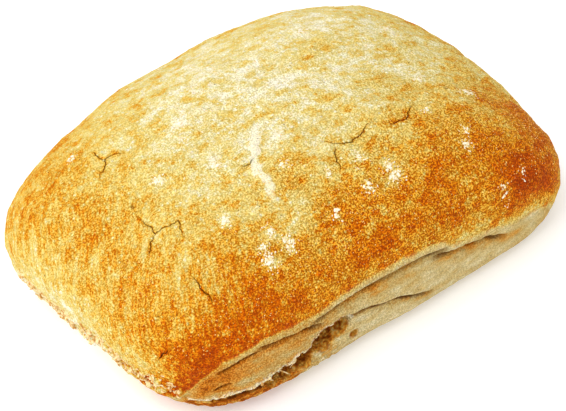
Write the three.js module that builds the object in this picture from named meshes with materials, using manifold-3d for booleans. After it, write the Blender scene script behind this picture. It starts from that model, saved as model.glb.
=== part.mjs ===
import * as THREE from "three";
import { mergeVertices } from "three/addons/utils/BufferGeometryUtils.js";
import Module from "manifold-3d";

// A ciabatta roll in millimetres: X along its length, Y across it, Z up. It rests on its flat foot,
// centred on the origin. The folded and torn long side faces -Y.

// The dough before the unevenness of shaping by hand.
const halfLength = 71;
const halfWidth = 44.7;
const crownHeight = 48;
const cornerSquareness = 4.2;  // 2 is an oval plan, more is squarer
const footSink = 1.06;         // above 1 presses the foot flat
const crownLean = -5;          // the crown sits this far towards the left end
const segments = [36, 26, 12];

// Each side: roundness of the crown and of the foot, height of the widest line, bow of the side.
const sides = [
  { name: "left", crown: 2.0, foot: 3.2, waist: 21, bow: -1.0 },
  { name: "right", crown: 1.75, foot: 4.0, waist: 16, bow: 1.2 },
  { name: "front", crown: 2.1, foot: 9.0, waist: 20, bow: -1.8 },
  { name: "back", crown: 2.1, foot: 6.0, waist: 19, bow: 8.8 },
];

// How far each corner of the plan is pulled out of the even shape.
const corners = [
  { end: -1, side: -1, pull: [3.3, -1.5] },
  { end: 1, side: -1, pull: [1.0, -1.7] },
  { end: -1, side: 1, pull: [-7.0, -5.0] },
  { end: 1, side: 1, pull: [-2.0, 2.3] },
];

// Soft swells and hollows: where each is, and which way it pushes the dough.
const swellReach = 24;
const swells = [
  { at: [46, -42.5, 3.5], push: [-2.1, 1.0, -0.6] },
  { at: [-48, -41.5, 4], push: [1.2, -0.3, 0.3] },
  { at: [-68, -24.5, 10], push: [0.9, -1.4, -0.6] },
  { at: [-39, 44.5, 31], push: [3.3, -0.9, 0.8] },
  { at: [58.5, 30, 27.5], push: [-1.0, 0.4, -0.4] },
  { at: [67, -28, 20], push: [-0.2, -2.1, -1.4] },
];

// Low dimples and rises all over the dough, which fade out towards the foot.
const dimpleHeight = 0.45;
const dimpleFade = 9;

// Folds run along a long side under the crust rim: points [x, z], depth into the crumb, opening.
const stationGap = 3;        // between the sections of a fold or crack
const frontFolds = [
  { path: [[-53, 13.2], [-51, 14.3], [-48.5, 14.8]], depth: 1.2, opening: 0.9 },
  { path: [[-52.5, 19.4], [-48, 21.4], [-44.3, 22.7], [-40, 23.3]], depth: 2.6, opening: 1.8 },
  { path: [[-41.5, 24.2], [-36, 23.4], [-30.7, 22.2], [-25, 21.1], [-20, 19.6]], depth: 3.2, opening: 2.4 },
  {
    path: [[-25, 22.1], [-20.6, 22.2], [-16, 23.1], [-8.5, 23.5], [8.4, 23.7], [14, 23], [20.5, 21.4]],
    depth: 4.2,
    opening: 3.2,
  },
  { path: [[14.5, 21], [21.3, 19], [30.3, 16.6], [34.8, 15.8], [41.5, 12.2]], depth: 4.2, opening: 3 },
  { path: [[-13, 15.9], [-8.9, 16.2], [-2.3, 14.4], [7.4, 11.2], [16, 7.8]], depth: 3, opening: 2 },
  { path: [[-54, 9.2], [-48.8, 8.9], [-44, 8.5], [-40, 8.3], [-35, 8.8]], depth: 2.6, opening: 1.4 },
];
const backFolds = [
  { path: [[44, 15.5], [34, 18.4], [22, 20.2], [9, 20.6], [-3, 19.4]], depth: 3.2, opening: 2.6 },
  { path: [[3, 17.8], [-9, 18.2], [-21, 17.6], [-36, 14.2]], depth: 3, opening: 2.4 },
];

// Torn crumb cells in the front wall: [x, z], half sizes along and up the wall, depth, tilt in degrees.
const cells = [
  { at: [-20.4, 12.9], half: [4.6, 3.5], depth: 6.5, tilt: 20 },
  { at: [-15.4, 14.1], half: [4.2, 2.5], depth: 5, tilt: 16 },
  { at: [-27.4, 9.7], half: [3.3, 2.8], depth: 6, tilt: 8 },
  { at: [-32.3, 8.3], half: [2.9, 2.2], depth: 5, tilt: 14 },
  { at: [-36.2, 7.5], half: [2.4, 1.4], depth: 3.6, tilt: 6 },
  { at: [-10.2, 7.6], half: [1.7, 1.1], depth: 2.4, tilt: -25 },
];
const cellRaggedness = 0.14;

// Fine cracks in the crown's crust, as points on it.
const crackWidth = 0.7;
const crackDepth = 1.5;
const cracks = [
  [[0, -18.4], [3.7, -20], [8.1, -21.8], [11.9, -20.7], [16.4, -18.9]],
  [[19.4, -20.6], [21.6, -21.9], [25.7, -22], [31.5, -18.2]],
  [[-49.5, -3.6], [-47.6, -12.4], [-48, -14.3], [-45.4, -14.6], [-41.8, -15.6], [-43.2, -21.6]],
  [[-48, -30.2], [-47.6, -34.9], [-47.5, -38]],
  [[-39, 12], [-44, 13.7], [-46, 11.7], [-49.5, 9]],
];

const endSize = 0.12;      // the size of a fold's or crack's ends against its middle
const clearOfCrust = 3;    // how far a cut starts outside the crust
const clearance = 90;      // a distance outside the whole roll

const crustColor = "#d9a557";
const crustRoughness = 0.85;

const mix = (weights, key) => sides.reduce((sum, side, i) => sum + side[key] * weights[i], 0);

// How much each of the four sides has to say at a point of the unit box.
function sideWeights(a, b) {
  const reach = [-a, a, -b, b].map((value) => Math.max(value, 0) ** 3 + 1e-6);
  const total = reach.reduce((sum, value) => sum + value, 0);
  return reach.map((value) => value / total);
}

// Takes a point of the unit box (each part from -1 to 1) to its place on the dough.
function shapeDough(a, b, c) {
  const weights = sideWeights(a, b);
  const roundness = mix(weights, c < 0 ? "foot" : "crown");
  const plan = (Math.abs(a) ** cornerSquareness + Math.abs(b) ** cornerSquareness) ** (1 / cornerSquareness);
  const shrink = (plan ** roundness + Math.abs(c) ** roundness) ** (-1 / roundness);
  const [u, v, h] = [a * shrink, b * shrink, c * shrink];
  const waist = mix(weights, "waist");
  const rise = c < 0 ? h * waist * footSink : h * (crownHeight - waist);
  const point = new THREE.Vector3(halfLength * u, halfWidth * v, Math.max(0, waist + rise));
  for (const { end, side, pull } of corners) {
    const share = ((1 + end * u) / 2) ** 2 * ((1 + side * v) / 2) ** 2;
    point.x += share * pull[0];
    point.y += share * pull[1];
  }
  const [left, right, front, back] = sides.map((side, i) => side.bow * weights[i]);
  point.x += (right - left) * (1 - v * v) * Math.abs(u);
  point.y += (back - front) * (1 - u * u) * Math.abs(v);
  point.x += (crownLean * point.z) / crownHeight;
  for (const { at, push } of swells) {
    const share = Math.exp(-((point.distanceTo(new THREE.Vector3(...at)) / swellReach) ** 2));
    point.addScaledVector(new THREE.Vector3(...push), share);
  }
  const along = Math.sin(point.x / 7.3 + Math.sin(point.y / 8.5));
  const across = Math.cos(point.y / 6.1 + Math.sin(point.x / 10.5));
  const fade = Math.min(1, point.z / dimpleFade);
  point.addScaledVector(outwardFrom(point), dimpleHeight * along * across * fade);
  point.z = Math.max(0, point.z);
  return point;
}

// The direction out of the dough, as of the ellipsoid with the dough's half sizes.
function outwardFrom({ x, y, z }) {
  return new THREE.Vector3(x / halfLength ** 2, y / halfWidth ** 2, z / crownHeight ** 2).normalize();
}

// The whole dough, closed, standing on its foot.
function makeDough() {
  const geometry = new THREE.BoxGeometry(2, 2, 2, ...segments);
  const position = geometry.getAttribute("position");
  for (let i = 0; i < position.count; i++) {
    const point = shapeDough(position.getX(i), position.getY(i), position.getZ(i));
    position.setXYZ(i, point.x, point.y, point.z);
  }
  return stand(geometry);
}

// Moves a geometry so that the middle of its foot is at the origin.
function stand(geometry) {
  geometry.computeBoundingBox();
  const { min, max } = geometry.boundingBox;
  return geometry.translate(-(min.x + max.x) / 2, -(min.y + max.y) / 2, -min.z);
}

const dough = new THREE.Mesh(makeDough());
const raycaster = new THREE.Raycaster();

// The point where a line first meets the dough.
function touch(origin, direction) {
  raycaster.set(origin, direction);
  return raycaster.intersectObject(dough)[0].point;
}

// A point of the long side at x and height z; facing is -1 for the front side and 1 for the back.
function onSide(x, z, facing) {
  return touch(new THREE.Vector3(x, facing * clearance, z), new THREE.Vector3(0, -facing, 0));
}

const onCrown = (x, y) => touch(new THREE.Vector3(x, y, clearance), new THREE.Vector3(0, 0, -1));

// A closed cutter along points on the crust: its section gets smaller towards both ends.
function loft(points, section, outwardAt) {
  const curve = new THREE.CatmullRomCurve3(points);
  const steps = Math.max(4, Math.round(curve.getLength() / stationGap));
  const ring = section.length;
  const vertices = [];
  for (let i = 0; i <= steps; i++) {
    const along = i / steps;
    const taper = endSize + (1 - endSize) * Math.sqrt(4 * along * (1 - along));
    const centre = curve.getPointAt(along);
    const outward = outwardAt(centre);
    const upward = new THREE.Vector3().crossVectors(outward, curve.getTangentAt(along)).normalize();
    for (const [out, up] of section) {
      const reach = out > 0 ? out : out * taper;
      const corner = centre.clone().addScaledVector(outward, reach).addScaledVector(upward, up * taper);
      vertices.push(...corner);
    }
  }
  const index = [];
  for (let i = 0; i < steps * ring; i += ring) {
    for (let k = 0; k < ring; k++) {
      const next = (k + 1) % ring;
      index.push(i + k, i + k + ring, i + next, i + next, i + k + ring, i + next + ring);
    }
  }
  const last = steps * ring;
  for (let k = 1; k < ring - 1; k++) {
    index.push(0, k, k + 1, last, last + k + 1, last + k);
  }
  const geometry = new THREE.BufferGeometry();
  geometry.setAttribute("position", new THREE.Float32BufferAttribute(vertices, 3));
  return geometry.setIndex(index);
}

// A fold: a slit under an overhanging lip, whose lower face runs back out as a ramp.
function makeFold({ path, depth, opening }, facing) {
  const points = path.map(([x, z]) => onSide(x, z, facing));
  const section = [
    [clearOfCrust, 0],
    [-0.15 * depth, 0],
    [-depth, 0.15 * opening],
    [-depth, -0.1 * opening],
    [-0.45 * depth, -0.55 * opening],
    [clearOfCrust, -1.35 * opening],
  ];
  return loft(points, section, () => new THREE.Vector3(0, facing, 0));
}

// A crack: a narrow wedge cut straight down into the crust.
function makeCrack(path) {
  const points = path.map(([x, y]) => onCrown(x, y));
  const section = [
    [clearOfCrust, crackWidth],
    [-crackDepth, 0],
    [clearOfCrust, -crackWidth],
  ];
  return loft(points, section, outwardFrom);
}

// A torn cell: an uneven ellipsoid centred a little behind the front wall.
function makeCell({ at, half, depth, tilt }) {
  const geometry = new THREE.IcosahedronGeometry(1, 2);
  const position = geometry.getAttribute("position");
  for (let i = 0; i < position.count; i++) {
    const [x, y, z] = [position.getX(i), position.getY(i), position.getZ(i)];
    const swing = Math.sin(5 * x + at[0]) * Math.cos(6 * z - at[1]) * Math.cos(4 * y);
    const size = 1 + cellRaggedness * swing;
    position.setXYZ(i, x * size, y * size, z * size);
  }
  const centre = onSide(...at, -1);
  return geometry
    .scale(half[0], depth, half[1])
    .rotateY((-tilt * Math.PI) / 180)
    .translate(centre.x, centre.y + 0.12 * depth, centre.z);
}

const wasm = await Module();
wasm.setup();

// A geometry as a solid that can be cut.
function toSolid(geometry) {
  geometry.deleteAttribute("normal");
  geometry.deleteAttribute("uv");
  const merged = mergeVertices(geometry, 1e-4);
  const vertProperties = new Float32Array(merged.getAttribute("position").array);
  const triVerts = new Uint32Array(merged.index.array);
  return new wasm.Manifold(new wasm.Mesh({ numProp: 3, vertProperties, triVerts }));
}

function toGeometry(solid) {
  const { vertProperties, triVerts } = solid.getMesh();
  const geometry = new THREE.BufferGeometry();
  geometry.setAttribute("position", new THREE.BufferAttribute(vertProperties, 3));
  return geometry.setIndex(new THREE.BufferAttribute(triVerts, 1));
}

const cutters = [
  ...frontFolds.map((fold) => makeFold(fold, -1)),
  ...backFolds.map((fold) => makeFold(fold, 1)),
  ...cells.map(makeCell),
  ...cracks.map(makeCrack),
];
const loafSolid = cutters.reduce((solid, cutter) => solid.subtract(toSolid(cutter)), toSolid(dough.geometry));
const loafGeometry = stand(toGeometry(loafSolid));
loafGeometry.computeVertexNormals();

const loaf = new THREE.Mesh(
  loafGeometry,
  new THREE.MeshStandardMaterial({ color: crustColor, roughness: crustRoughness, metalness: 0 }),
);
loaf.name = "loaf";

const ciabatta = new THREE.Group();
ciabatta.add(loaf);

export default ciabatta;
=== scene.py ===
import math
import random

import bpy
import numpy as np
from mathutils import Matrix, Vector, noise
from mathutils.bvhtree import BVHTree


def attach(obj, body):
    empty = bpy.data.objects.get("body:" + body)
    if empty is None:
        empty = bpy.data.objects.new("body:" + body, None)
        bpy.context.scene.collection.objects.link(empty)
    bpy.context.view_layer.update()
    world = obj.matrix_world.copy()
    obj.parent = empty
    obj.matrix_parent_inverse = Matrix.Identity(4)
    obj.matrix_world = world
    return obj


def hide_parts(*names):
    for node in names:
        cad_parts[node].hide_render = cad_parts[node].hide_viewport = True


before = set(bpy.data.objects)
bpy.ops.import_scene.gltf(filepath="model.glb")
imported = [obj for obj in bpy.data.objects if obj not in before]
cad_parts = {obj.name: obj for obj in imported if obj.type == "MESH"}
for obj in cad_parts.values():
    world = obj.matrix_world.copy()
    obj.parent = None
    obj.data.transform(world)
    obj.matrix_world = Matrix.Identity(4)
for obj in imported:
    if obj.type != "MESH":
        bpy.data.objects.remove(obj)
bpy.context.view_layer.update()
mm = 0.001
farOff = 1e9  # stands for a distance that wasn't measured

# The camera stands where the photograph was taken from. Angles are in degrees, and the lens and sensor in mm.
cameraView = {
    "azimuth": -36.5,
    "elevation": 47,
    "distance": 0.650,
    "looksAt": (2.27 * mm, -4.48 * mm, 20 * mm),
    "sideways": -2.75 * mm,
    "upwards": -6.16 * mm,
    "lens": 155,
    "sensor": 36,
    "nearest": 0.01,
}


def makeCamera():
    azimuth = math.radians(cameraView["azimuth"])
    elevation = math.radians(cameraView["elevation"])
    back = Vector((
        math.sin(azimuth) * math.cos(elevation),
        -math.cos(azimuth) * math.cos(elevation),
        math.sin(elevation),
    ))
    right = Vector((math.cos(azimuth), math.sin(azimuth), 0))
    up = back.cross(right)
    bpy.ops.object.camera_add()
    camera = bpy.context.object
    camera.name = "camera"
    camera.data.lens = cameraView["lens"]
    camera.data.sensor_width = cameraView["sensor"]
    camera.data.clip_start = cameraView["nearest"]
    camera.rotation_euler = back.to_track_quat("Z", "Y").to_euler()
    camera.location = Vector(cameraView["looksAt"]) + back * cameraView["distance"]
    camera.location += right * cameraView["sideways"] + up * cameraView["upwards"]
    bpy.context.scene.camera = camera


makeCamera()
print("camera ready")


# Small helpers for meshes. All lengths in meshes are handled in millimetres.
def selectOnly(piece):
    bpy.ops.object.select_all(action="DESELECT")
    piece.select_set(True)
    bpy.context.view_layer.objects.active = piece


def applyModifier(piece, kind, **settings):
    selectOnly(piece)
    modifier = piece.modifiers.new(kind.lower(), kind)
    for key, value in settings.items():
        setattr(modifier, key, value)
    bpy.ops.object.modifier_apply(modifier=modifier.name)


# One row of three numbers for each point or face.
def readRows(elements, kind):
    flat = np.empty(len(elements) * 3, dtype=np.float32)
    elements.foreach_get(kind, flat)
    return flat.reshape(-1, 3).astype(float)


def readPoints(piece):
    return readRows(piece.data.vertices, "co") / mm


def readNormals(piece):
    return readRows(piece.data.vertices, "normal")


def faceCentres(piece):
    return readRows(piece.data.polygons, "center") / mm


def writePoints(piece, points):
    piece.data.vertices.foreach_set("co", (points * mm).astype(np.float32).ravel())
    piece.data.update()


# Weights from 0 to 1 are given in steps, because points are added to a group one weight at a time.
def setWeights(piece, name, weights, steps=20):
    group = piece.vertex_groups.new(name=name)
    levels = np.round(np.clip(weights, 0, 1) * steps).astype(int)
    for level in range(steps + 1):
        group.add(np.flatnonzero(levels == level).tolist(), level / steps, "REPLACE")


# A smooth step from 0 at the low value to 1 at the high one.
def fade(values, low, high):
    share = np.clip((values - low) / (high - low), 0, 1)
    return share * share * (3 - 2 * share)


# A bell that is 1 in the middle and has faded to about a third one width away.
def swell(values, middle, width):
    return np.exp(-((values - middle) / width) ** 2)


# How far points lie from a line through given points, on which side of it, and how far along it they lie,
# from 0 to 1. Points farther off than the reach aren't measured.
def measureLine(points, line, reach=8):
    line = np.array(line, dtype=float)
    lengths = np.sqrt((np.diff(line, axis=0) ** 2).sum(1))
    starts = np.concatenate([[0], np.cumsum(lengths)])
    inside = ((points > line.min(0) - reach) & (points < line.max(0) + reach)).all(1)
    near = points[inside]
    nearest = np.full(len(near), farOff)
    side, place = np.zeros((2, len(near)))
    for i, length in enumerate(lengths):
        along = (line[i + 1] - line[i]) / length
        offset = near - line[i]
        travelled = np.clip(offset @ along, 0, length)
        gap = offset - travelled[:, None] * along
        distance = np.sqrt((gap ** 2).sum(1))
        closer = distance < nearest
        nearest[closer] = distance[closer]
        place[closer] = ((starts[i] + travelled) / starts[-1])[closer]
        if line.shape[1] == 2:
            turn = along[0] * offset[:, 1] - along[1] * offset[:, 0]
            side[closer] = np.sign(turn)[closer]
    found = np.zeros((3, len(points)))
    found[0] = farOff
    found[:, inside] = nearest, side, place
    return found


# The same line with a fine, uneven wander, as dough tears. Each round halves its steps.
def roughen(line, wander, rounds, seed):
    picker = random.Random(seed)
    line = [np.array(point, dtype=float) for point in line]
    for _ in range(rounds):
        finer = [line[0]]
        for start, end in zip(line[:-1], line[1:]):
            step = np.linalg.norm(end - start)
            shift = np.array([picker.uniform(-1, 1) for _ in start]) * wander * step
            finer += [(start + end) / 2 + shift, end]
        line = finer
    return line


# Smooth noise from about -1 to 1. Each seed looks at another part of the same field.
def noiseAt(points, size, seed, stretch=(1, 1, 1), pattern=noise.noise):
    scaled = points / (np.array(stretch) * size) + seed * 17.31
    return np.array([pattern(point) for point in scaled.tolist()])


# Noise of sharp ridges, by its dimension, the step between octaves, the octaves, the offset and the gain.
def ridgePattern(point):
    return noise.ridged_multi_fractal(point, 0.9, 2.1, 3, 1, 2)


def setAttribute(piece, name, values):
    attribute = piece.data.attributes.new(name, "FLOAT", "POINT")
    attribute.data.foreach_set("value", np.asarray(values, dtype=np.float32))


# Subdivides the chosen faces in edit mode.
def refineFaces(piece, chosen, cuts):
    selectOnly(piece)
    bpy.ops.object.mode_set(mode="EDIT")
    bpy.ops.mesh.select_all(action="DESELECT")
    bpy.ops.mesh.select_mode(type="FACE")
    bpy.ops.object.mode_set(mode="OBJECT")
    piece.data.polygons.foreach_set("select", chosen)
    bpy.ops.object.mode_set(mode="EDIT")
    bpy.ops.mesh.subdivide(number_cuts=cuts)
    bpy.ops.object.mode_set(mode="OBJECT")


# The loaf. Folds and rims are (x, z) on a long side, each fold with the width that it opens to. Torn cells
# are (x, z, radius). Cracks, pinholes and ridges are (x, y) on the crown, each ridge with its width, its
# height and how pale it is.
loafShape = {
    "voxel": 0.77,
    "evenness": 40,  # rounds of smoothing away from the cuts
    "evenFrom": (1.2, 4),  # how far from them it starts and is full
    "footKept": 0.05,  # share of the faces kept on the flat foot
    "footEdge": (0.3, 2.2),  # the heights at which the foot ends and the full relief starts
    "frontFrom": -38,  # the y at which the front wall's cuts begin
    "backFrom": 35,
    "frontFolds": [
        ([(-53, 13.2), (-51, 14.3), (-48.5, 14.8)], 0.9),
        ([(-52.5, 19.4), (-48, 21.4), (-44.3, 22.7), (-40, 23.3)], 1.2),
        ([(-41.5, 24.2), (-36, 23.4), (-30.7, 22.2), (-25, 21.1), (-20, 19.6)], 2.4),
        ([(-25, 22.1), (-20.6, 22.2), (-16, 23.1), (-8.5, 23.5), (8.4, 23.7), (14, 23), (20.5, 21.4)], 2.8),
        ([(14.5, 21), (21.3, 19), (30.3, 16.6), (34.8, 15.8), (41.5, 12.2)], 3),
        ([(-13, 15.9), (-8.9, 16.2), (-2.3, 14.4), (7.4, 11.2), (16, 7.8)], 2),
        ([(-54, 9.2), (-48.8, 8.9), (-44, 8.5), (-40, 8.3), (-35, 8.8)], 1.4),
    ],
    "backFolds": [
        ([(44, 15.5), (34, 18.4), (22, 20.2), (9, 20.6), (-3, 19.4)], 2.6),
        ([(3, 17.8), (-9, 18.2), (-21, 17.6), (-36, 14.2)], 2.4),
    ],
    "tornCells": [
        (-20.4, 12.9, 4.4), (-15.4, 14.1, 3.4), (-27.4, 9.7, 3.1), (-32.3, 8.3, 2.6), (-36.2, 7.5, 1.9),
        (-10.2, 7.6, 1.4),
    ],
    "frontRim": [
        (-64, 2), (-60, 8), (-56, 16), (-50.6, 20.8), (-44, 22.7), (-39, 23.9), (-30.7, 22.5), (-22, 21.6),
        (-16, 23.1), (-8.5, 23.6), (8.4, 23.7), (14, 23), (18.5, 21.7), (21, 19.3), (25.8, 17.7),
        (34.8, 16.1), (41.5, 13.8), (50, 12.6), (58, 8.8), (64, 3),
    ],
    "backRim": [
        (-60, 2), (-46, 10), (-36, 14.2), (-21, 17.6), (-9, 18.4), (3, 20.5), (22, 20.3), (34, 18.6),
        (44, 15.6), (60, 2),
    ],
    "cracks": [
        [(-39.5, 12.2), (-42, 13.6), (-44.3, 14.2), (-46, 11.7), (-48.9, 9.6)],
        [(-45.1, 18.9), (-44.3, 14.2)],
        [(-20.8, -13), (-18.3, -13.4), (-16.1, -12.6)],
        [(1, -17.6), (3.7, -20), (8.1, -21.8), (11.9, -20.7), (17.1, -18.6)],
        [(3.7, -20), (1.8, -23), (0.3, -27.4)],
        [(19, -20.4), (21.4, -21.9), (25.7, -22), (31.2, -17.9)],
        [(-48.6, -6), (-47.6, -12.4), (-48, -14.3), (-45.4, -14.6), (-41.8, -15.6), (-42.1, -16.9),
         (-43.2, -22)],
        [(-48, -14.3), (-50.3, -15.3), (-52.6, -18)],
        [(-48, -29.4), (-47.6, -34.9), (-47.3, -38.4)],
        [(-63.3, -36.5), (-60.7, -37.7)],
    ],
    "lineWander": (0.16, 4),  # share of each step, and rounds
    "crackHalfWidth": 0.15,
    "crackDepth": 0.6,
    "crackBank": 0.1,
    "pinholes": [(-47.7, -3.6), (45, -15)],
    "pinholeDepth": 0.7,
    "ridges": [
        ([(-8, -3.2), (-12.4, -7.4), (-14.6, -10), (-17.7, -13.8), (-18, -18.5), (-18.6, -22.9),
          (-18.4, -26.8)], 1.3, 0.35, 1),
        ([(-33, -10.4), (-36.6, -11.7), (-39.2, -14.1), (-41.3, -16.1)], 0.7, 0.15, 0.3),
        ([(-42.6, -19.5), (-43.1, -21.3), (-46.3, -25.5), (-48, -28)], 0.7, 0.15, 0.3),
        ([(-48, -13), (-52.8, -16.8), (-56.5, -20.5)], 0.6, 0.15, 0.25),
        ([(-38.6, -26.9), (-36.5, -29.7), (-35.2, -33.4)], 0.4, 0.12, 0.25),
        ([(-25.6, -38.1), (-24.1, -40.9), (-21.9, -43.6)], 0.4, 0.12, 0.3),
        ([(-29.6, -43), (-28.6, -46)], 0.4, 0.12, 0.3),
        ([(22.6, -13.8), (30, -17.2), (35.4, -16.4), (39, -14)], 0.5, 0.12, 0.25),
    ],
}

# The tear low on the left half of the front wall. Each station is an x with the tear's upper and lower edge.
tear = {
    "from": -36,  # the y at which it begins
    "stations": [
        (-58, 9, 9), (-53.9, 9.4, 8.5), (-49, 9.8, 8.6), (-43, 9.5, 8.2), (-39.2, 10, 7.9),
        (-34.8, 11.3, 7.2), (-31.2, 11.6, 6.5), (-30.5, 11.2, 8.2), (-29.8, 12.8, 6.3), (-27.4, 12.9, 6.1),
        (-24.7, 12.5, 5.8), (-24, 12.2, 10.2), (-23.6, 15.2, 10), (-20.4, 16.7, 10.3),
        (-18.5, 15.6, 10.6), (-15.1, 16.5, 11.6), (-12.4, 15.9, 14.1), (-11.4, 15.2, 15.2),
    ],
    "wallAt": [
        (-58, -43), (-54, -44.7), (-49, -46.6), (-43, -47.9), (-39, -48.3), (-30, -48.6), (-12, -48.3),
    ],
    "shallowest": 0.5,
    "deepest": 2.2,
    "bowls": 1.8,  # how much deeper it is in its cells
    "curl": 0.35,
    "ragged": 1,
    "pores": 0.8,
    "lipFrom": -50,  # the torn lip is pale from this x on
}

# The form of each fold. Its lip and its gap are a place above the line, a width, and a height or depth.
foldForm = {
    "lip": (0.6, 0.5, 0.45),
    "gap": (-0.35, 0.32, 0.5),
    "hollow": (0.4, 0.38),  # reach and depth below the line, as shares of the fold's width
    # how far the band of painted shade reaches below a fold's dark line
    "shadeBand": 2.2,
    "wander": (0.05, 2),
}

# The crust's relief: the size of each kind of unevenness, and how far it stands up or sinks. Stretches are
# along x, y and z, and the streaks' own stretch runs along their direction.
crustRelief = {
    "dimples": (14, 0.4),
    "puckers": (5.2, 0.32),
    "wrinkles": (7.5, 0.3),
    "grain": (1.7, 0.13),
    "fibres": (2.2, 0.3),
    "streaks": (1.7, 0.3),
    "ledge": (2.6, 1),
    "crownStretch": (2.2, 1, 1),
    "wallStretch": (7, 1, 1),
    "streakStretch": (5, 1, 1),
    "streakAlong": (-0.38, -0.68, -0.6),
}

# Where each region of the crust begins, and where it is full. The left end's edge slants across the loaf.
edges = {
    "wallTop": (2.9, 0.5),  # above the rim
    "frontWall": (-33, -39),
    "backWall": (30, 36),
    "leftEnd": (-26, -58),
    "slant": 0.3,
    "ledgeX": (-54, -62),
    "ledgeBack": (18, 10),
    "ledgeTop": (19, 15),
    "ledgeFoot": (7, 12),
}


# Every fold's line and width, with the points that are on its side of the loaf.
def foldsBySide(points):
    front, back = points[:, 1] < loafShape["frontFrom"], points[:, 1] > loafShape["backFrom"]
    for folds, there in (("frontFolds", front), ("backFolds", back)):
        for line, opening in loafShape[folds]:
            yield line, opening, there


# How far points on the walls lie from the nearest fold or torn cell.
def nearCuts(points):
    nearest = nearCells(points)
    for line, _, there in foldsBySide(points):
        nearest = np.minimum(nearest, np.where(there, measureLine(points[:, [0, 2]], line)[0], farOff))
    return nearest


def nearCells(points):
    nearest = np.full(len(points), farOff)
    for x, z, radius in loafShape["tornCells"]:
        gap = np.hypot(points[:, 0] - x, points[:, 2] - z) - radius
        nearest = np.minimum(nearest, np.where(points[:, 1] < loafShape["frontFrom"], gap, farOff))
    return nearest


# How much of each point is wall, stretched left end and the rough ledge low on it, and how far below the rim
# of the overhanging crust it lies.
def findRegions(points):
    x, y, z = points.T
    frontRim = np.interp(x, *zip(*loafShape["frontRim"]))
    backRim = np.interp(x, *zip(*loafShape["backRim"]))
    frontWall = fade(z - frontRim, *edges["wallTop"]) * fade(y, *edges["frontWall"])
    backWall = fade(z - backRim, *edges["wallTop"]) * fade(y, *edges["backWall"])
    wall = np.maximum(frontWall, backWall)
    leftEnd = fade(x + edges["slant"] * y, *edges["leftEnd"]) * (1 - wall)
    ledge = fade(x, *edges["ledgeX"]) * fade(y, *edges["ledgeBack"])
    ledge *= fade(z, *edges["ledgeTop"]) * fade(z, *edges["ledgeFoot"])
    drop = np.where(y < 0, frontRim, backRim) - z
    return {"wall": wall, "leftEnd": leftEnd, "ledge": ledge, "drop": drop}


# Lines given from above, dropped onto the crust.
def dropLines(lines, finder, seed):
    dropped = []
    for i, line in enumerate(lines):
        points = []
        for x, y in roughen(line, *loafShape["lineWander"], seed + i):
            hit = finder.ray_cast(Vector((x, y, 90)) * mm, Vector((0, 0, -1)))[0]
            points.append(tuple(hit / mm))
        dropped.append(points)
    return dropped


# A copy of the solid, merged, remeshed, smoothed away from its cuts, and thinned on its flat foot.
def makeLoaf():
    loaf = bpy.data.objects.new("crust", bpy.data.objects["loaf"].data.copy())
    bpy.context.scene.collection.objects.link(loaf)
    selectOnly(loaf)
    bpy.ops.object.mode_set(mode="EDIT")
    bpy.ops.mesh.select_all(action="SELECT")
    bpy.ops.mesh.remove_doubles(threshold=1e-6)
    bpy.ops.object.mode_set(mode="OBJECT")
    applyModifier(loaf, "REMESH", mode="VOXEL", voxel_size=loafShape["voxel"] * mm)
    print("loaf remeshed", len(loaf.data.vertices))
    points = readPoints(loaf)
    setWeights(loaf, "even", fade(nearCuts(points), *loafShape["evenFrom"]))
    applyModifier(loaf, "SMOOTH", factor=0.5, iterations=loafShape["evenness"], vertex_group="even")
    applyModifier(loaf, "SMOOTH", factor=0.5, iterations=3)
    points = readPoints(loaf)
    foot = points[:, 2] < loafShape["footEdge"][0]
    setWeights(loaf, "foot", foot)
    kept = 1 - foot.mean() * (1 - loafShape["footKept"])
    applyModifier(loaf, "DECIMATE", ratio=kept, vertex_group="foot")
    loaf.vertex_groups.clear()
    return loaf


# How far below the tear's upper edge and above its lower edge the points lie, how wide it is open there, and
# which points are in its reach. Its edges may be ragged.
def tearEdges(points, ragged):
    x, y, z = points.T
    places, tops, bottoms = zip(*tear["stations"])
    tops = np.interp(x, places, tops)
    bottoms = np.interp(x, places, bottoms)
    opening = tops - bottoms
    there = (y < tear["from"]) & (opening > 0)
    if ragged:
        frayed = noiseAt(points, 1.4, 11) + 0.8 * noiseAt(points, 0.6, 16)
        tops = tops + tear["ragged"] * frayed * (0.4 + 0.8 * fade(opening, 0, 3))
        bottoms = bottoms + tear["ragged"] * noiseAt(points, 1.7, 12)
    return tops - z, z - bottoms, opening, there


# How deep the points lie in the bowl of a torn cell, from 0 at its rim to 1.
def cellBowls(points):
    bowls = np.zeros(len(points))
    for x, z, radius in loafShape["tornCells"]:
        gap = np.hypot(points[:, 0] - x, points[:, 2] - z) / radius
        bowls = np.maximum(bowls, np.sqrt(np.clip(1 - gap * gap, 0, 1)) * min(radius / 3, 1))
    return bowls


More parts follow.
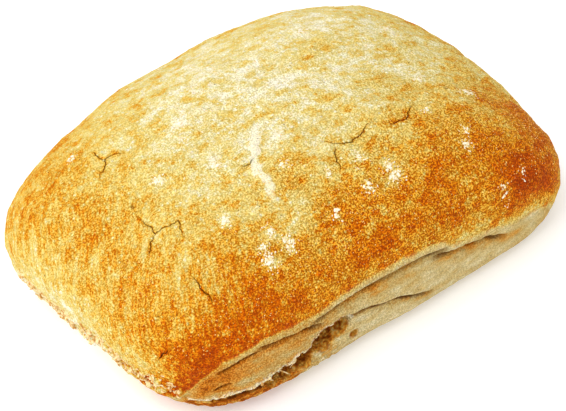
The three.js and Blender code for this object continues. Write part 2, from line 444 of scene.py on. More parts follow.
# The tear is pressed straight into the wall, deepest in its cells. Its lip curls out, and its floor is rough.
def pressTear(points):
    x, y, z = points.T
    under, over, opening, there = tearEdges(points, True)
    bowls = cellBowls(points)
    inside = there * fade(under, 0, 0.35) * fade(over, -0.1, 0.35 + 0.6 * opening)
    depth = np.minimum(tear["shallowest"] + 0.75 * opening, tear["deepest"]) + tear["bowls"] * bowls
    pressed = np.maximum(y, np.interp(x, *zip(*tear["wallAt"])) + depth * inside)
    pressed += tear["pores"] * noiseAt(points, 1.1, 13, (1, 1, 2.6)) * inside
    pressed += 0.6 * tear["pores"] * noiseAt(points, 0.6, 14) * inside
    pressed -= tear["curl"] * there * swell(under, -0.4, 0.4) * fade(opening, 0.5, 2)
    floor = there * fade(over, 0.4, -0.6) * fade(-x, 12, 17) * fade(-x, 64, 56)
    rough = 0.5 * noiseAt(points, 1.5, 19) + 0.4 * noiseAt(points, 0.8, 22, (2.5, 1, 1))
    pressed += rough * floor * fade(z, 0.6, 2)

    share = there * fade(under, -0.1, 0.2) * fade(over, -0.3, 0.3)
    topLine = [(place, top) for place, top, _ in tear["stations"] if place > tear["lipFrom"]]
    frayed = fade(measureLine(points[:, [0, 2]], topLine)[0], 1, 0.35) * (1 - share) * (y < tear["from"])
    lip = np.maximum(there * swell(under, -0.4, 0.4), frayed) * fade(z, 8, 9)
    # How near the upper lip the points lie; with the bowls, this paints shade into the crumb.
    high = np.clip(1 - under / np.maximum(opening, 0.5), 0, 1)
    return pressed, {"inside": share, "lip": lip, "floor": floor, "high": high, "bowls": bowls}


# Each of these gives how far the points move along their normals, and what its marks are.
def foldPush(points):
    push, creaseShade, warm = np.zeros((3, len(points)))
    lipAt, lipWidth, lipHeight = foldForm["lip"]
    gapAt, gapWidth, gapDepth = foldForm["gap"]
    reach, depth = foldForm["hollow"]
    for line, opening, there in foldsBySide(points):
        distance, turn, place = measureLine(points[:, [0, 2]], roughen(line, *foldForm["wander"], 5))
        above = turn * (1 if line[0][0] < line[-1][0] else -1) * distance
        taper = np.sqrt(np.clip(4 * place * (1 - place), 0, 1)) * there
        lip = lipHeight * swell(above, lipAt, lipWidth) * (above > 0)
        hollow = depth * opening * swell(above, 0, reach * opening) * (above < 0)
        push += taper * (lip - hollow - gapDepth * swell(above, gapAt, gapWidth))
        # Painted shade: a dark line just under each fold's lip, where the groove goes out of sight behind it.
        hidden = -reach * opening - 0.3
        shade = fade(above, hidden - 0.12 * opening - 0.15, hidden + 0.2) * fade(-above, -0.1, 0.15)
        creaseShade = np.maximum(creaseShade, taper * shade)
        # Painted shade: a browner band below the dark line, where the lip shades the wall.
        band = fade(above, hidden - foldForm["shadeBand"], hidden) * (above < 0.2)
        warm = np.maximum(warm, taper * band)
    return push, creaseShade, warm


def crackPush(points, cracks):
    push, creaseShade, scorch = np.zeros((3, len(points)))
    for line in cracks:
        distance, _, place = measureLine(points, line, 4)
        taper = np.clip(4.5 * place * (1 - place), 0.15, 1)
        half = loafShape["crackHalfWidth"] * (0.4 + 0.6 * taper)
        groove = np.clip(1 - distance / half, 0, 1) * taper
        bank = swell(distance, 1.6 * half, 0.8 * half) * taper * (groove == 0)
        push = np.minimum(push, -loafShape["crackDepth"] * groove) + loafShape["crackBank"] * bank
        # The dark core of each crack is painted shade; the browner scorch round it is the crust's own colour.
        creaseShade = np.maximum(creaseShade, np.clip(1.7 - distance / (0.85 * half), 0, 1) * np.sqrt(taper))
        scorch = np.maximum(scorch, swell(distance, 0, 0.5) * np.sqrt(taper))
    return push, creaseShade, scorch


def ridgePush(points, ridges):
    push, pale = np.zeros((2, len(points)))
    for line, (_, width, height, paleness) in zip(ridges, loafShape["ridges"]):
        distance, _, place = measureLine(points, line, 6)
        taper = np.sqrt(np.clip(5 * place * (1 - place), 0, 1))
        uneven = width * (0.55 + 0.45 * taper) + 0.7 * width * noiseAt(points, 2.5, 9)
        bank = fade(uneven * 1.25 - distance, 0, 0.55 * width) * taper
        push += height * bank
        pale = np.maximum(pale, paleness * bank)
    return push, pale


def pinholePush(points):
    gaps = [np.hypot(points[:, 0] - x, points[:, 1] - y) for x, y in loafShape["pinholes"]]
    hole = np.clip(1.4 - np.min(gaps, axis=0) / 0.45, 0, 1) * (points[:, 2] > 20)
    # The dark in each pinhole is painted shade.
    return -loafShape["pinholeDepth"] * hole, hole


# Noise along the direction in which the dough was drawn out at its left end.
def streaksAt(points):
    along = np.array(crustRelief["streakAlong"])
    along /= np.linalg.norm(along)
    across = np.cross(along, (0, 0, 1))
    across /= np.linalg.norm(across)
    turned = np.stack([points @ along, points @ across, points @ np.cross(along, across)], axis=1)
    return noiseAt(turned, crustRelief["streaks"][0], 6, crustRelief["streakStretch"])


# The foot keeps its flatness, so all relief fades out towards it.
def reliefPush(points, regions):
    def mark(name, *settings):
        return noiseAt(points, crustRelief[name][0], *settings)

    stretch = crustRelief["crownStretch"]
    marks = {
        "dimples": mark("dimples", 1),
        "puckers": mark("puckers", 2, stretch),
        "wrinkles": mark("wrinkles", 3, stretch, ridgePattern) - 1,
        "grain": mark("grain", 4),
        "fibres": mark("fibres", 5, crustRelief["wallStretch"]),
        "ledge": mark("ledge", 8) + 0.6 * noiseAt(points, 0.45 * crustRelief["ledge"][0], 23),
        "streaks": streaksAt(points),
    }
    crown = 1 - regions["wall"]
    where = {"puckers": crown, "wrinkles": crown, "fibres": regions["wall"], "ledge": regions["ledge"]}
    where["streaks"] = regions["leftEnd"]
    push = sum(where.get(name, 1) * crustRelief[name][1] * mark for name, mark in marks.items())
    return push * fade(points[:, 2], *loafShape["footEdge"]), marks


# How far the crust is browned, from 0, floury, to 1, dark. Each patch is a place, its reach and how much
# browner or paler it is. The other values say how much each kind of mark browns the crust or the wall;
# the band below the folds is painted shade.
bakeTone = {
    "all": 0.52,
    "patches": [
        ((-7, 10, 38), 21, -0.46), ((-36, -46, 21), 31, 0.56), ((22, -46, 41), 24, 0.42),
        ((-43, 19, 42), 11, -0.30), ((58, -47, 21), 10, 0.46), ((42, -7, 37), 10, -0.40),
        ((-79, 6, 49), 34, 0.33), ((-49, -45, 8), 18, 0.80), ((-73, -3, 6), 25, -0.80),
        ((-24, -30, 40), 11, -0.40), ((22, 11, 15), 42, -0.68), ((43, -12, 46), 17, 0.39),
        ((61, -29, 25), 13, 0.58), ((46, -46, 31), 9, 0.77), ((-46, -16, 43), 8, -0.29),
        ((20, -49, 34), 8, 0.33), ((-31, -14, 48), 8, -0.21), ((-49, -33, 36), 10, -0.31),
        ((0, -48, 29), 14, 0.24), ((-64, -34, 20), 8, -0.39), ((8, 18, 47), 13, 0.21),
        ((-38, -3, 44), 14, -0.21), ((12, -16, 45), 8, -0.15), ((76, 22, 20), 22, 0.35),
        ((10, 56, 18), 20, 0.4), ((-46, 54, 18), 20, 0.35),
    ],
    "wall": 0.2,
    "wallPatches": [
        ((-46, -50, 14), 26, 0.4), ((-54, -44, 18), 7, 0.4), ((6, -48, 2), 12, -0.12),
        ((56, -40, 9), 4, 0.5), ((47, -45, 6), 3, 0.3),
    ],
    "drift": 0.2,
    "puckers": 0.16,
    "crests": -0.14,
    "streaks": 0.22,
    "banks": -0.6,
    "scorch": 0.3,
    "ledge": -0.9,
    "nearRim": (-0.08, -0.12),  # all along the rim, and from the left corner to the middle besides
    "mostAtWall": 0.45,
    "fibres": 0.25,
    "underRim": 0.2,
    # a band of painted shade below each fold
    "shadeUnderFolds": 0.4,
    "tearFloor": (0.05, 0.5),  # all along the tear, and at its left end besides
}


def patchTone(points, start, patches):
    tone = np.full(len(points), start)
    for place, reach, amount in patches:
        tone += amount * np.exp(-((points - np.array(place)) ** 2).sum(1) / reach ** 2)
    return tone


# Flour lies on the crown in clumps, each (x, y, reach, grains), and in loose specks.
flourGrains = {
    "clumps": [
        (-24.1, 9.4, 1.7, 30), (-26.7, 4.7, 1.3, 16), (-38.9, -2.2, 1.5, 30), (-25.4, -7.8, 1.3, 20),
        (-33.1, -23.4, 1.6, 24), (-2.9, -26.2, 1.2, 14), (-25.4, -31.7, 1.7, 22), (-22.6, -35.4, 2.1, 42),
        (-29.2, -37.4, 1.8, 40), (-29.3, -33.8, 1.5, 18), (-6.6, -9.8, 1.6, 12), (-11.3, -18.4, 1.7, 14),
        (50, -18, 2, 28), (33.4, -21.4, 1.4, 12), (12.5, -31.3, 1.8, 26), (12.8, -33.7, 2.2, 34),
        (4.3, -33.7, 1.8, 24), (36, -34.5, 1.5, 16), (40.3, -45.4, 1.4, 14), (48.4, -43.5, 1.1, 9),
        (-6.8, -35, 1.5, 14), (38.8, -30.8, 1.5, 14), (7.2, -25.8, 2.4, 18), (40.2, -9, 1.8, 14),
        (24, 22, 1.8, 18), (-8, 30, 1.6, 14), (48, 14, 1.7, 16), (-50, 22, 1.5, 12),
    ],
    "grain": (0.25, 0.65),
    "patch": (0.6, 1.3),
    "spread": (1.5, 0.75),  # of the grains and of the patches, in reaches of their clump
    "speck": (0.16, 0.42),
    "specks": 6500,
    "speckedX": (-70, 70),
    "speckedY": ((-48, 46), (-48, -14)),  # all over the crown, and on its front
    "seed": 21,
}


# A thin film of flour lies round each clump.
def filmAt(points):
    film = np.zeros(len(points))
    for x, y, reach, count in flourGrains["clumps"]:
        gap = np.hypot(points[:, 0] - x, points[:, 1] - y) / reach
        film = np.maximum(film, np.exp(-(gap / 1.1) ** 2) * min(count / 24, 1) * (points[:, 2] > 20))
    return film


# How brown the crust is: paler along its rim, and never so brown that a dark line edges the wall.
def crustBake(points, regions, marks, pale, scorch):
    x, y = points[:, 0], points[:, 1]
    crest = fade(marks["wrinkles"], 0.25, 0.6) * (1 - regions["wall"])
    drift = bakeTone["drift"] * noiseAt(points, 9, 7, (1.8, 1, 1)) + bakeTone["puckers"] * marks["puckers"]
    bake = patchTone(points, bakeTone["all"], bakeTone["patches"])
    bake += drift * (1 - 0.6 * regions["leftEnd"]) + bakeTone["crests"] * (crest - 0.2)
    bake += bakeTone["streaks"] * regions["leftEnd"] * marks["streaks"]
    bake += bakeTone["banks"] * pale + bakeTone["scorch"] * scorch
    atRim = swell(regions["drop"], -4.2, 3.2) * fade(np.abs(y), 30, 38)
    everywhere, besides = bakeTone["nearRim"]
    bake += atRim * (everywhere + besides * fade(x, -52, -44) * fade(-x, -12, 4))
    bake += regions["ledge"] * (0.1 + bakeTone["ledge"] * marks["ledge"])
    return bake - np.maximum(bake - bakeTone["mostAtWall"], 0) * fade(regions["wall"], 0, 0.4)


# How brown the wall under the crust is, with a band of painted shade below each fold.
def wallBake(points, regions, marks, floor, foldShadeBand):
    everywhere, besides = bakeTone["tearFloor"]
    tone = patchTone(points, bakeTone["wall"], bakeTone["wallPatches"]) + bakeTone["fibres"] * marks["fibres"]
    tone += bakeTone["underRim"] * swell(regions["drop"], 3.5, 2.5) + bakeTone["shadeUnderFolds"] * foldShadeBand
    tone += floor * (everywhere + besides * fade(-points[:, 0], 27, 35))
    return tone + floor * (0.5 * noiseAt(points, 1.6, 20) + 0.6 * noiseAt(points, 0.8, 22, (2.5, 1, 1)))


# How strong the fine grit is: most on the browned front, less at the back, the left end and the right wall.
def grittyShare(points, regions, bake):
    rightWall = regions["wall"] * fade(points[:, 0], -25, 15)
    share = (0.8 + 0.6 * fade(bake, 0.1, 0.8)) * (1 - 0.55 * fade(points[:, 1], 0, 36))
    return share * (1 - 0.25 * regions["leftEnd"]) * (1 - 0.35 * rightWall)


# Finer faces go where the cracks, the tear and the front folds will be.
def refineCrust(crust, cracks):
    centres = faceCentres(crust)
    refineFaces(crust, np.min([measureLine(centres, line, 2)[0] for line in cracks], axis=0) < 0.6, 4)
    centres = faceCentres(crust)
    under, over, _, there = tearEdges(centres, False)
    nearTear = there & (under > -1.2) & (over > -1)
    nearFold = (nearCuts(centres) < 0.8) & (centres[:, 1] < tear["from"]) & (nearCells(centres) > 1.5)
    refineFaces(crust, nearTear | nearFold, 2)


# Moves the crust's points and leaves what the material needs to know as attributes.
def shapeCrust(crust, cracks, ridges):
    points, normals = readPoints(crust), readNormals(crust)
    regions = findRegions(points)
    relief, marks = reliefPush(points, regions)
    folds, foldShade, foldShadeBand = foldPush(points)
    splits, crackShade, scorch = crackPush(points, cracks)
    banks, pale = ridgePush(points, ridges)
    holes, holeShade = pinholePush(points)
    shaped = points + normals * (relief + folds + splits + banks + holes)[:, None]
    shaped[:, 1], torn = pressTear(shaped)
    writePoints(crust, shaped)

    bake = crustBake(points, regions, marks, pale, scorch)
    # The crumb is painted darker near the tear's upper lip and deep in its cells, as shade; the noise is its
    # own uneven colour.
    crumbToneAndShade = 0.55 - 0.6 * torn["high"] - 0.2 * torn["bowls"] + 0.9 * noiseAt(points, 0.8, 15, (1, 1, 2.4))
    attributes = {
        "bake": bake,
        "wall": regions["wall"],
        "wallTone": wallBake(points, regions, marks, torn["floor"], foldShadeBand),
        "leftEnd": regions["leftEnd"],
        "gritty": grittyShare(points, regions, bake),
        "film": filmAt(points),
        "pale": np.maximum(fade(pale, 0.35, 0.95), torn["lip"]),
        # painted shade in the folds, the cracks and the pinholes
        "creaseShade": np.maximum.reduce([foldShade * (1 - torn["inside"]), 0.85 * crackShade, holeShade]),
        "crumb": np.maximum(torn["inside"], 1 - fade(nearCells(points), -0.3, 0.15)),
        "crumbToneAndShade": crumbToneAndShade,
    }
    for name, values in attributes.items():
        setAttribute(crust, name, values)


crust = makeLoaf()
finder = BVHTree.FromObject(crust, bpy.context.evaluated_depsgraph_get())
cracks = dropLines(loafShape["cracks"], finder, 3)
ridges = dropLines([ridge[0] for ridge in loafShape["ridges"]], finder, 40)
refineCrust(crust, cracks)
shapeCrust(crust, cracks, ridges)
crust.data.shade_smooth()
print("crust shaped", len(crust.data.vertices), "points")


# Small helpers for materials. Sizes are in millimetres, and colours are as seen on a screen, from 0 to 255.
# The first value of each sum, product and so on is another node's output.
def screenColor(color):
    shares = [part / 255 for part in color]
    return (*[share / 12.92 if share < 0.0405 else ((share + 0.055) / 1.055) ** 2.4 for share in shares], 1)


def addNode(tree, kind, **settings):
    node = tree.nodes.new(kind)
    for key, value in settings.items():
        setattr(node, key, value)
    return node


def feed(socket, value):
    if isinstance(value, bpy.types.NodeSocket):
        socket.id_data.links.new(value, socket)
    else:
        socket.default_value = value


def calculate(operation, first, second, clamp=False):
    node = addNode(first.id_data, "ShaderNodeMath", operation=operation, use_clamp=clamp)
    feed(node.inputs[0], first)
    feed(node.inputs[1], second)
    return node.outputs[0]


def total(first, *others):
    for other in others:
        first = calculate("ADD", first, other)
    return first


def product(first, second):
    return calculate("MULTIPLY", first, second)


def larger(first, second):
    return calculate("MAXIMUM", first, second)


# Noise turned into a value that swings about 0.
def centred(value, gain):
    return product(calculate("SUBTRACT", value, 0.5), gain)


def remap(value, low, high, to=(0, 1)):
    node = addNode(value.id_data, "ShaderNodeMapRange", interpolation_type="SMOOTHSTEP")
    for socket, part in zip(node.inputs, (value, low, high, *to)):
        feed(socket, part)
    return node.outputs[0]


def blendColors(share, first, second):
    node = addNode(share.id_data, "ShaderNodeMix", data_type="RGBA")
    for place, part in ((0, share), (6, first), (7, second)):
        feed(node.inputs[place], part)
    return node.outputs[2]


# A pattern's texture at a given size, on the piece's own coordinates.
def patternAt(tree, kind, size, place=None, **settings):
    node = addNode(tree, kind, **settings)
    feed(node.inputs["Vector"], place or addNode(tree, "ShaderNodeTexCoord").outputs["Object"])
    node.inputs["Scale"].default_value = 1000 / size
    return node


# Noise of a given size, drawn out along the axes, or along a direction and across it.
def patternNoise(tree, size, detail, roughness, stretch=None, along=(1, 0, 0)):
    place = None
    if stretch:
        mapping = addNode(tree, "ShaderNodeMapping", vector_type="TEXTURE")
        feed(mapping.inputs["Vector"], addNode(tree, "ShaderNodeTexCoord").outputs["Object"])
        mapping.inputs["Rotation"].default_value = Vector(along).to_track_quat("X", "Z").to_euler()
        mapping.inputs["Scale"].default_value = stretch
        place = mapping.outputs[0]
    node = patternAt(tree, "ShaderNodeTexNoise", size, place)
    node.inputs["Detail"].default_value = detail
    node.inputs["Roughness"].default_value = roughness
    return node.outputs["Fac"]


# Small domes at a given spacing, in only a share of the cells.
def patternBlisters(tree, spacing, share, rim):
    node = patternAt(tree, "ShaderNodeTexVoronoi", spacing, feature="F1")
    red = addNode(tree, "ShaderNodeSeparateColor")
    feed(red.inputs[0], node.outputs["Color"])
    picked = calculate("LESS_THAN", red.outputs[0], share)
    return product(remap(node.outputs["Distance"], rim, 0.4 * rim), picked)


# A web of fine wrinkles.
def patternVeins(tree, size, low, high):
    node = patternAt(tree, "ShaderNodeTexNoise", size, noise_type="RIDGED_MULTIFRACTAL")
    node.inputs["Detail"].default_value = 1
    return remap(node.outputs["Fac"], low, high)


def readShare(tree, name):
    return addNode(tree, "ShaderNodeAttribute", attribute_name=name).outputs["Fac"]


# A colour ramp whose stops run from -0.3, floury, to 1.3, scorched.
def makeRamp(tone, stops):
    node = addNode(tone.id_data, "ShaderNodeValToRGB")
    elements = node.color_ramp.elements
    while len(elements) < len(stops):
        elements.new(0.5)
    for element, (place, color) in zip(elements, stops):
        element.position = (place + 0.3) / 1.6
        element.color = screenColor(color)
    feed(node.inputs[0], calculate("DIVIDE", total(tone, 0.3), 1.6, True))
    return node.outputs[0]


# A new material, whose surface gives its colour, its roughness and the height of its bumps.
def makeMaterial(name, makeSurface, finish):
    material = bpy.data.materials.new(name)
    material.use_nodes = True
    tree = material.node_tree
    shader = tree.nodes["Principled BSDF"]
    color, roughness, height = makeSurface(tree)
    feed(shader.inputs["Base Color"], color)
    feed(shader.inputs["Roughness"], roughness)
    shader.inputs["Specular IOR Level"].default_value = finish["specular"]
    bump = addNode(tree, "ShaderNodeBump")
    bump.inputs["Strength"].default_value = finish["bumpStrength"]
    bump.inputs["Distance"].default_value = finish["bumpHeight"] * mm
    feed(bump.inputs["Height"], height)
    feed(shader.inputs["Normal"], bump.outputs[0])
    return material


# The crust's colours by tone, and its patterns: size, detail, roughness and stretch of each noise.
crustFinish = {
    "baked": [
        (-0.3, (246, 238, 212)), (0, (228, 214, 160)), (0.2, (223, 202, 122)), (0.4, (220, 186, 92)),
        (0.55, (217, 166, 58)), (0.7, (212, 141, 26)), (0.85, (204, 114, 5)), (1, (195, 91, 0)),
        (1.3, (170, 64, 0)),
    ],
    "wall": [
        (-0.3, (232, 218, 178)), (0, (209, 192, 143)), (0.2, (202, 179, 122)), (0.45, (193, 162, 96)),
        (0.7, (204, 149, 66)), (1, (196, 116, 26)), (1.3, (154, 76, 8)),
    ],
    # the crumb's colours, whose dark stops give the painted shade near the lip and deep in the cells
    "crumb": [
        (-0.3, (116, 54, 8)), (0.2, (160, 88, 18)), (0.6, (202, 140, 46)), (0.9, (222, 180, 92)),
        (1.3, (238, 212, 148)),
    ],
    "dust": (242, 231, 196),
    # the dark brown of the painted shade in folds, cracks, pinholes and pores
    "creaseShade": (74, 28, 0),
    "patterns": {
        "broad": (2.2, 3, 0.6),
        "fine": (0.5, 2, 0.6),
        "grain": (0.32, 1, 0.5),
        "grit": (0.45, 1, 0.6),
        "spots": (3.2, 6, 0.68, (1.5, 1, 1)),
        "streaks": (0.8, 2, 0.6, (6, 1, 1), crustRelief["streakAlong"]),
        "dusted": (4.5, 4, 0.65),
        "fibres": (1.4, 2, 0.5, (6, 1, 1)),
        "stains": (3, 3, 0.6, (1.8, 1, 1)),
        "clusters": (14, 2, 0.6),
    },
    "blisters": (1.25, 0.4, 0.42),
    "pores": (1.7, 0.3, 0.16),
    "veins": (5.5, 1.2, 1.65),
    "gritTone": (-0.34, -0.22),  # on pale crust and on brown crust
    "gritLight": (0.42, 0.5),
    "specular": 0.05,
    "bumpStrength": 1,
    "bumpHeight": 0.55,
    "glow": 0.15,
    "glowColors": (1, 0.5, 0.2),
    "glowReach": 0.8,
}


# How far the crust's colour swings about its browning, and the part of that which is fine grit.
def crustUneven(tree, noises, grit, bake):
    calm = remap(readShare(tree, "leftEnd"), 0, 1, (1, 0.4))
    calm = product(calm, remap(bake, 0.2, 0.8, (0.95, 0.6)))
    gritTone = product(grit, remap(bake, 0.1, 0.7, crustFinish["gritTone"]))
    speckled = total(centred(noises["fine"], 0.2), gritTone)
    spots = remap(noises["spots"], 0.48, 0.6, (-0.1, 0.25))
    blotches = product(total(centred(noises["broad"], 1), spots), calm)
    return total(blotches, speckled), speckled


def crustTone(tree, noises, blisters, uneven, bake):
    drawn = product(readShare(tree, "leftEnd"), centred(noises["streaks"], 1.1))
    dusted = larger(remap(noises["dusted"], 0.54, 0.68, (0, 0.45)), readShare(tree, "film"))
    dusted = product(dusted, remap(noises["fine"], 0.38, 0.56, (0, -0.55)))
    veins = product(patternVeins(tree, *crustFinish["veins"]), -0.22)
    return total(bake, uneven, drawn, product(blisters, -0.3), dusted, veins)


def wallColor(tree, noises, speckled):
    marks = (centred(noises["fibres"], 0.4), centred(noises["stains"], 1.2))
    tone = total(readShare(tree, "wallTone"), product(speckled, 0.8), *marks)
    return makeRamp(tone, crustFinish["wall"])


# Painted shade: where the crust is darkened deep in folds, cracks and pinholes, and in pores that lie in
# clusters.
def creaseShadeShare(tree, noises):
    clusters = remap(noises["clusters"], 0.48, 0.58, (0, 0.75))
    pores = product(patternBlisters(tree, *crustFinish["pores"]), clusters)
    return larger(product(readShare(tree, "creaseShade"), 0.9), pores)


def crustSurface(tree):
    noises = {name: patternNoise(tree, *values) for name, values in crustFinish["patterns"].items()}
    bake = readShare(tree, "bake")
    blisters = patternBlisters(tree, *crustFinish["blisters"])
    grit = product(remap(noises["grit"], 0.34, 0.66, (-0.5, 0.5)), readShare(tree, "gritty"))
    uneven, speckled = crustUneven(tree, noises, grit, bake)
    tone = crustTone(tree, noises, blisters, uneven, bake)

    color = makeRamp(tone, crustFinish["baked"])
    color = blendColors(readShare(tree, "wall"), color, wallColor(tree, noises, speckled))
    paleShare = product(readShare(tree, "pale"), remap(noises["fine"], 0.35, 0.55, (0.5, 1)))
    color = blendColors(paleShare, color, screenColor(crustFinish["dust"]))
    # The crumb's tone carries painted shade near the lip and deep in the cells.
    crumbToneAndShade = total(readShare(tree, "crumbToneAndShade"), product(speckled, 0.5))
    crumb = makeRamp(crumbToneAndShade, crustFinish["crumb"])
    color = blendColors(readShare(tree, "crumb"), color, crumb)
    # Painted shade darkens the folds, cracks, pinholes and pores.
    color = blendColors(creaseShadeShare(tree, noises), color, screenColor(crustFinish["creaseShade"]))

    lights = product(grit, remap(bake, 0.1, 0.7, crustFinish["gritLight"]))
    brightness = addNode(tree, "ShaderNodeHueSaturation")
    feed(brightness.inputs["Value"], total(centred(noises["broad"], 0.25), lights, 1.03))
    feed(brightness.inputs["Color"], color)
    gains = {"fine": 1, "grain": 0.5, "broad": 0.8}
    bumps = [centred(noises[name], gain) for name, gain in gains.items()]
    height = total(*bumps, product(blisters, 0.25), product(grit, 0.3))
    return brightness.outputs[0], remap(tone, 0, 1, (0.95, 0.75)), height


# The baked crust, through which a little light passes.
def makeCrustMaterial():
    material = makeMaterial("bakedCrust", crustSurface, crustFinish)
    shader = material.node_tree.nodes["Principled BSDF"]
    shader.inputs["Subsurface Weight"].default_value = crustFinish["glow"]
    shader.inputs["Subsurface Radius"].default_value = crustFinish["glowColors"]
    shader.inputs["Subsurface Scale"].default_value = crustFinish["glowReach"] * mm
    return material


crust.data.materials.clear()
crust.data.materials.append(makeCrustMaterial())
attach(crust, "root")
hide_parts("loaf")
print("crust finished")


# One small, flattened and uneven lump, about 1 across; the copies are turned and scaled.
def modelGrain(seed, subdivisions, flatness):
    bpy.ops.mesh.primitive_ico_sphere_add(subdivisions=subdivisions, radius=0.5)
    grain = bpy.context.object
    bpy.ops.object.mode_set(mode="EDIT")
    bpy.ops.transform.resize(value=(1, 0.8, flatness))
    bpy.ops.object.mode_set(mode="OBJECT")
    shape = readRows(grain.data.vertices, "co")
    shape *= 1 + 0.7 * noiseAt(shape, 0.5, seed)[:, None]
    faces = np.array([list(face.vertices) for face in grain.data.polygons])
    bpy.data.objects.remove(grain)
    return shape, faces


# One mesh of many copies. Each place is a kind, a point and the three axes that the kind is stretched along.
def joinCopies(name, kinds, places):
    points, faces, start = [], [], 0
    for kind, spot, axes in places:
        shape, sides = kinds[kind]
        points.append(shape @ np.array(axes) + spot)
        faces.append(sides + start)
        start += len(shape)
    mesh = bpy.data.meshes.new(name)
    mesh.from_pydata((np.concatenate(points) * mm).tolist(), [], np.concatenate(faces).tolist())
    mesh.update()
    piece = bpy.data.objects.new(name, mesh)
    bpy.context.scene.collection.objects.link(piece)
    mesh.shade_smooth()
    return piece


# The axes of a copy that lies flat on a surface, turned about the surface's normal.
def lyingAxes(normal, turn, size):
    tilt = Vector(normal).to_track_quat("Z", "Y").to_matrix()
    return (tilt @ Matrix.Rotation(turn, 3, "Z")).transposed() * size


# Where a line from a point along a direction meets the crust, and the way the crust faces there.
def meetCrust(finder, start, along):
    spot, normal, _, _ = finder.ray_cast(Vector(start) * mm, Vector(along))
    return (np.array(spot) / mm, np.array(normal)) if spot else (None, None)


# Lays one copy at each (kind, x, y, size) on the crown. A kind is the first of three shapes to pick from.
def strew(name, finder, kinds, spots, picker):
    places = []
    for kind, x, y, size in spots:
        spot, normal = meetCrust(finder, (x, y, 90), (0, 0, -1))
        if spot is not None and normal[2] > 0.2:
            axes = lyingAxes(normal, picker.uniform(0, math.tau), size)
            places.append((kind + picker.randrange(3), spot + 0.06 * size * normal, axes))
    return joinCopies(name, kinds, places)


# A random size, more often small than large.
def pickSize(picker, small, large):
    return small + (large - small) * picker.random() ** 2


# Every fourth grain of a clump is a flat patch, and lies nearer its middle.
def makeFlour(finder):
    picker = random.Random(flourGrains["seed"])
    kinds = [modelGrain(seed, 2, 0.55) for seed in (1, 2, 3)]
    kinds += [modelGrain(seed, 2, 0.2) for seed in (4, 5, 6)]
    spots = []
    for x, y, reach, count in flourGrains["clumps"]:
        for i in range(round(1.3 * count)):
            turn, away = picker.uniform(0, math.tau), reach * picker.random() ** 0.7
            flat = i % 4 == 0
            size = pickSize(picker, *flourGrains["patch" if flat else "grain"])
            away *= flourGrains["spread"][flat]
            spots.append((3 * flat, x + away * math.cos(turn), y + away * math.sin(turn), size))
    return strew("flour", finder, kinds, spots, picker)


# Half of the specks lie all over the crown, the other half on its front.
def makeSpecks(finder):
    picker = random.Random(flourGrains["seed"] + 1)
    kinds = [modelGrain(seed, 1, 0.6) for seed in (7, 8, 9)]
    spots = []
    for _ in range(flourGrains["specks"]):
        x = picker.uniform(*flourGrains["speckedX"])
        y = picker.choice([picker.uniform(*span) for span in flourGrains["speckedY"]])
        spots.append((0, x, y, pickSize(picker, *flourGrains["speck"])))
    return strew("specks", finder, kinds, spots, picker)


# The grains' finish: a pale and a warm colour, the noise that blends them and where it turns from one to the
# other, and the noise of the bumps.
grainFinish = {
    "roughness": 0.95,
    "specular": 0.1,
    "blend": (0.8, 2, 0.6),
    "turn": (0.4, 0.6),
    "bumps": (0.25, 1, 0.5),
    "bumpStrength": 0.5,
    "bumpHeight": 0.1,
}
flourFinish = {**grainFinish, "pale": (248, 240, 218), "warm": (234, 212, 164)}
speckFinish = {**grainFinish, "pale": (246, 218, 140), "warm": (236, 184, 92)}


def makeGrainMaterial(name, finish):
    def grainSurface(tree):
        share = remap(patternNoise(tree, *finish["blend"]), *finish["turn"])
        color = blendColors(share, screenColor(finish["pale"]), screenColor(finish["warm"]))
        return color, finish["roughness"], patternNoise(tree, *finish["bumps"])

    return makeMaterial(name, grainSurface, finish)


finder = BVHTree.FromObject(crust, bpy.context.evaluated_depsgraph_get())
flour = makeFlour(finder)
flour.data.materials.append(makeGrainMaterial("flourGrains", flourFinish))
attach(flour, "root")
specks = makeSpecks(finder)
specks.data.materials.append(makeGrainMaterial("bakedSpecks", speckFinish))
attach(specks, "root")
print("flour strewn", len(flour.data.polygons), "and", len(specks.data.polygons), "faces")


# Thin scales of pale dough lie along the low edge of the left end and on the torn lip, and shreds hang in the
# tear. Each shred is given by its ends, as (x, z), and its width.
doughScraps = {
    "flakes": 420,
    "flakeSizes": (0.6, 2),
    "flakeTilt": 0.6,
    "flakesAlong": (-40, 16),
    "flakesUp": (9, 19, 15),  # the lowest, the highest and where most are
    "lipFlakes": 60,
    "lipFlakeSizes": (0.4, 1),
    "lipFlakesAlong": (-52, -13),
    "lipFlakesUp": (0.1, 0.5),
    "shreds": [
        ((-34.6, 10.9), (-31.5, 7.1), 0.45),
        ((-31.2, 9.4), (-29.6, 11.2), 0.35),
        ((-37.8, 9.4), (-36.4, 7.9), 0.4),
    ],
    "seed": 5,
}


def layFlakes(finder, picker):
    for _ in range(doughScraps["flakes"]):
        y, z = picker.uniform(*doughScraps["flakesAlong"]), picker.triangular(*doughScraps["flakesUp"])
        spot, normal = meetCrust(finder, (-90, y, z), (1, 0, 0))
        size = pickSize(picker, *doughScraps["flakeSizes"])
        if spot is None or spot[0] > -55:
            continue
        tilt = doughScraps["flakeTilt"]
        tilted = Vector(normal) + Vector([picker.uniform(-tilt, tilt) for _ in range(3)])
        yield picker.randrange(3), spot, lyingAxes(tilted, picker.uniform(0, math.tau), size)


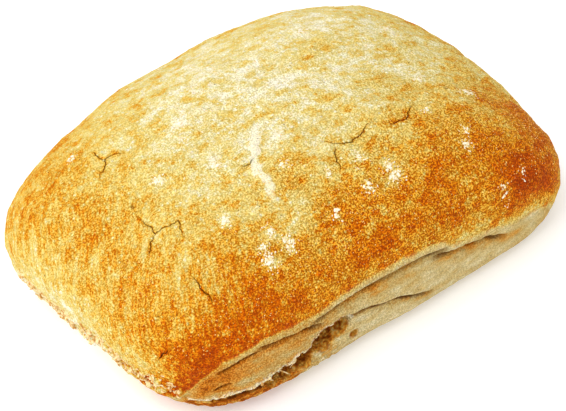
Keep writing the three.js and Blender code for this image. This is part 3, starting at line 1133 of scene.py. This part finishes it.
def layLipFlakes(finder, picker):
    places, tops, _ = zip(*tear["stations"])
    for _ in range(doughScraps["lipFlakes"]):
        x = picker.uniform(*doughScraps["lipFlakesAlong"])
        z = np.interp(x, places, tops) + picker.uniform(*doughScraps["lipFlakesUp"])
        spot, normal = meetCrust(finder, (x, -70, z), (0, 1, 0))
        if spot is None:
            continue
        size = picker.uniform(*doughScraps["lipFlakeSizes"])
        yield picker.randrange(3), spot, lyingAxes(normal, picker.uniform(0, math.tau), size)


# A shred is one lump drawn out between its ends, half a millimetre behind the wall.
def hangShreds():
    for start, end, width in doughScraps["shreds"]:
        wallAt = np.interp((start[0], end[0]), *zip(*tear["wallAt"]))
        ends = [Vector((x, y + 0.5, z)) for (x, z), y in zip((start, end), wallAt)]
        along = ends[1] - ends[0]
        across = along.normalized().cross(Vector((0, -1, 0)))
        out = along.normalized().cross(across)
        yield 3, np.array((ends[0] + ends[1]) / 2), (along * 1.15, across * width, out * width)


def makeScraps(finder):
    picker = random.Random(doughScraps["seed"])
    kinds = [modelGrain(seed, 2, 0.3) for seed in (11, 12, 13)] + [modelGrain(14, 2, 0.8)]
    places = [*layFlakes(finder, picker), *layLipFlakes(finder, picker), *hangShreds()]
    return joinCopies("scraps", kinds, places)


scrapFinish = {
    "pale": (236, 214, 160),
    "warm": (196, 140, 66),
    "roughness": 0.9,
    "specular": 0.1,
    "blend": (1.1, 3, 0.6),
    "turn": (0.45, 0.62),
    "bumps": (0.4, 2, 0.6),
    "bumpStrength": 0.7,
    "bumpHeight": 0.15,
}
scraps = makeScraps(finder)
scraps.data.materials.append(makeGrainMaterial("driedDough", scrapFinish))
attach(scraps, "root")
print("scraps placed", len(scraps.data.polygons), "faces")


# The studio: a pale table just under the loaf, a pale surround and soft lamps.
studio = {
    "tableSize": 6,
    "tableAt": (0, 0, -0.2 * mm),
    "tableColor": (0.9, 0.9, 0.9, 1),
    "tableGlow": 0.2,
    "surround": 0.82,
    "lamps": {  # place, power and size
        "key": ((-0.75, 0.1, 1.05), 13, 1.2),
        "fill": ((0.2, -1.2, 0.7), 2, 1.2),
    },
}


# A square lamp that faces the loaf's middle.
def makeLamp(name, at, power, size):
    bpy.ops.object.light_add(type="AREA", location=at)
    lamp = bpy.context.object
    lamp.name = name
    lamp.data.energy = power
    lamp.data.size = size
    lamp.rotation_euler = (Vector(at) - Vector((0, 0, 0.02))).to_track_quat("Z", "Y").to_euler()


def makeStudio():
    bpy.ops.mesh.primitive_plane_add(size=studio["tableSize"], location=studio["tableAt"])
    table = bpy.context.object
    table.name = "table"
    paint = bpy.data.materials.new("tableTop")
    paint.use_nodes = True
    shader = paint.node_tree.nodes["Principled BSDF"]
    shader.inputs["Base Color"].default_value = studio["tableColor"]
    shader.inputs["Roughness"].default_value = 0.9
    shader.inputs["Emission Strength"].default_value = studio["tableGlow"]
    table.data.materials.append(paint)
    world = bpy.data.worlds.new("surround")
    world.use_nodes = True
    background = world.node_tree.nodes["Background"]
    background.inputs["Color"].default_value = (1, 1, 1, 1)
    background.inputs["Strength"].default_value = studio["surround"]
    bpy.context.scene.world = world
    for name, settings in studio["lamps"].items():
        makeLamp(name, *settings)


makeStudio()
bpy.context.scene.view_settings.view_transform = "Standard"
print("studio ready")
